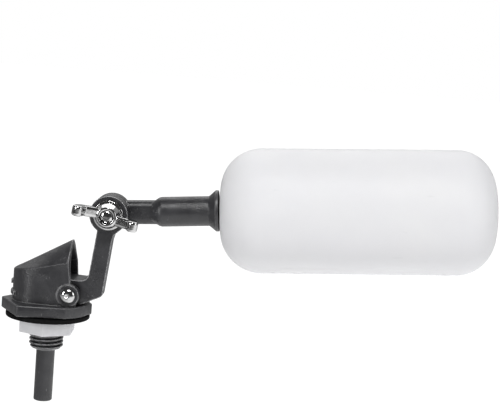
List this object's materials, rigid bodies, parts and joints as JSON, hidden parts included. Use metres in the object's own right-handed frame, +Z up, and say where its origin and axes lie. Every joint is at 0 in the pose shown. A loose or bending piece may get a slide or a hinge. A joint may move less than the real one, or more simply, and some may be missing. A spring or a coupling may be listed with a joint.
{
  "type": "float valve",
  "caption": "Small float valve: threaded shank with inlet stem, hooded outlet, hinged lever, and a wing-nut clamp that sets a cylindrical float on its arm.",
  "frame": {"origin": "on the shank's axis, at the face of the gasket that meets the tank's wall", "axes": "+Z up along the shank into the tank, +X towards the float, -Y towards the side with the wing nut"},
  "size_m": [0.1649, 0.0424, 0.0975],
  "materials": {
    "dark_plastic": "moulded dark grey acetal or nylon with a soft satin sheen",
    "rubber": "matt black",
    "white_nylon": "natural white nylon",
    "float_plastic": "milky white polyethylene",
    "insert_plastic": "plain",
    "polished_steel": "polished stainless steel"
  },
  "bodies": {
    "body": {"valve_body": "dark_plastic", "flange_gasket": "rubber", "pivot_pin": "polished_steel", "pin_retainer": "polished_steel"},
    "mounting_nut": {"mounting_nut": "white_nylon"},
    "lever": {"lever": "dark_plastic", "seal_plug": "rubber"},
    "float": {"float_arm": "dark_plastic", "float_shell": "float_plastic", "float_insert": "insert_plastic", "clamp_bolt": "polished_steel"},
    "washer": {"flat_washer": "polished_steel"},
    "wing_nut": {"wing_nut": "polished_steel"}
  },
  "joints": [
    {"name": "lever_swing", "type": "hinge", "parent": "body", "child": "lever", "pos_m": [0.0078, 0, 0.0093], "axis": [0, -1, 0], "range_deg": [0, 12]},
    {"name": "arm_angle", "type": "hinge", "parent": "lever", "child": "float", "pos_m": [0.0192, 0, 0.0371], "axis": [0, -1, 0], "range_deg": [-60, 85]},
    {"name": "washer_travel", "type": "slide", "parent": "float", "child": "washer", "axis": [0, -1, 0], "range_m": [0, 0.0014]},
    {"name": "wing_turn", "type": "hinge", "parent": "washer", "child": "wing_nut", "pos_m": [0.0192, 0, 0.0371], "axis": [0, -1, 0], "range_deg": [0, 720]},
    {"name": "nut_travel", "type": "slide", "parent": "body", "child": "mounting_nut", "axis": [0, 0, -1], "range_m": [0, 0.005]}
  ],
  "couplings": [
    {"joint": "wing_turn", "follows": "washer_travel", "rad_per_m": 8970}
  ]
}
